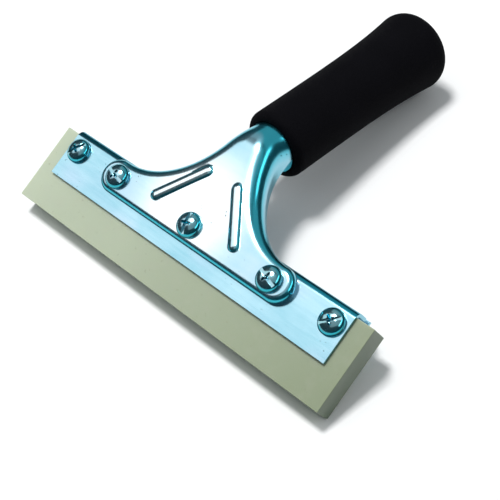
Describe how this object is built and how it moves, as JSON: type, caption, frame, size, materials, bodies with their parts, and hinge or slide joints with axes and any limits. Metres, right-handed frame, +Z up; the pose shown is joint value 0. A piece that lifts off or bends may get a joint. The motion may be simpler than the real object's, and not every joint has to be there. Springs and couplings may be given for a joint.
{
  "type": "squeegee applicator",
  "caption": "Clamp-bar squeegee: a translucent rubber blade bolted between sheet-metal plates, with a stamped bracket and a foam-covered tube handle.",
  "frame": {"origin": "middle of the tool's footprint, on the table that it lies on face up", "axes": "+X along the blade, +Y from the blade to the handle, +Z up"},
  "size_m": [0.1524, 0.146, 0.0391],
  "materials": {
    "blade_polyurethane": "satin, slightly translucent",
    "zinc_sheet": "bright zinc plate with a blue passivate",
    "zinc_fastener": "bright zinc plate with a blue passivate",
    "grip_foam": "matt closed-cell foam"
  },
  "bodies": {
    "handle_frame": {"front_clamp_plate": "zinc_sheet", "rear_clamp_plate": "zinc_sheet", "handle_bracket": "zinc_sheet", "foam_grip": "grip_foam"},
    "blade": {"blade": "blade_polyurethane"},
    "screw_1": {"clamp_screw_1": "zinc_fastener"},
    "nut_1": {"lock_washer_1": "zinc_fastener", "hex_nut_1": "zinc_fastener"},
    "screw_2": {"clamp_screw_2": "zinc_fastener"},
    "nut_2": {"lock_washer_2": "zinc_fastener", "hex_nut_2": "zinc_fastener"},
    "screw_3": {"clamp_screw_3": "zinc_fastener"},
    "nut_3": {"lock_washer_3": "zinc_fastener", "hex_nut_3": "zinc_fastener"},
    "screw_4": {"clamp_screw_4": "zinc_fastener"},
    "nut_4": {"lock_washer_4": "zinc_fastener", "hex_nut_4": "zinc_fastener"},
    "screw_5": {"clamp_screw_5": "zinc_fastener"},
    "nut_5": {"lock_washer_5": "zinc_fastener", "hex_nut_5": "zinc_fastener"}
  },
  "joints": [
    {"name": "blade_slide", "type": "slide", "parent": "handle_frame", "child": "blade", "axis": [0, -0.9216, -0.3882], "range_m": [0, 0.02]},
    {"name": "screw_1_turn", "type": "hinge", "parent": "handle_frame", "child": "screw_1", "pos_m": [-0.0634, -0.05, 0.01971], "axis": [0, -0.3882, 0.9216], "range_deg": [0, 1080]},
    {"name": "nut_1_travel", "type": "slide", "parent": "handle_frame", "child": "nut_1", "axis": [0, 0.3882, -0.9216], "range_m": [0, 0.0024]},
    {"name": "screw_2_turn", "type": "hinge", "parent": "handle_frame", "child": "screw_2", "pos_m": [-0.038, -0.05139, 0.02303], "axis": [0, -0.3882, 0.9216], "range_deg": [0, 1080]},
    {"name": "nut_2_travel", "type": "slide", "parent": "handle_frame", "child": "nut_2", "axis": [0, 0.3882, -0.9216], "range_m": [0, 0.0024]},
    {"name": "screw_3_turn", "type": "hinge", "parent": "handle_frame", "child": "screw_3", "pos_m": [0, -0.05139, 0.02303], "axis": [0, -0.3882, 0.9216], "range_deg": [0, 1080]},
    {"name": "nut_3_travel", "type": "slide", "parent": "handle_frame", "child": "nut_3", "axis": [0, 0.3882, -0.9216], "range_m": [0, 0.0024]},
    {"name": "screw_4_turn", "type": "hinge", "parent": "handle_frame", "child": "screw_4", "pos_m": [0.038, -0.05139, 0.02303], "axis": [0, -0.3882, 0.9216], "range_deg": [0, 1080]},
    {"name": "nut_4_travel", "type": "slide", "parent": "handle_frame", "child": "nut_4", "axis": [0, 0.3882, -0.9216], "range_m": [0, 0.0024]},
    {"name": "screw_5_turn", "type": "hinge", "parent": "handle_frame", "child": "screw_5", "pos_m": [0.0634, -0.05, 0.01971], "axis": [0, -0.3882, 0.9216], "range_deg": [0, 1080]},
    {"name": "nut_5_travel", "type": "slide", "parent": "handle_frame", "child": "nut_5", "axis": [0, 0.3882, -0.9216], "range_m": [0, 0.0024]}
  ],
  "couplings": [
    {"joint": "screw_1_turn", "follows": "nut_1_travel", "rad_per_m": 7854},
    {"joint": "screw_2_turn", "follows": "nut_2_travel", "rad_per_m": 7854},
    {"joint": "screw_3_turn", "follows": "nut_3_travel", "rad_per_m": 7854},
    {"joint": "screw_4_turn", "follows": "nut_4_travel", "rad_per_m": 7854},
    {"joint": "screw_5_turn", "follows": "nut_5_travel", "rad_per_m": 7854}
  ]
}
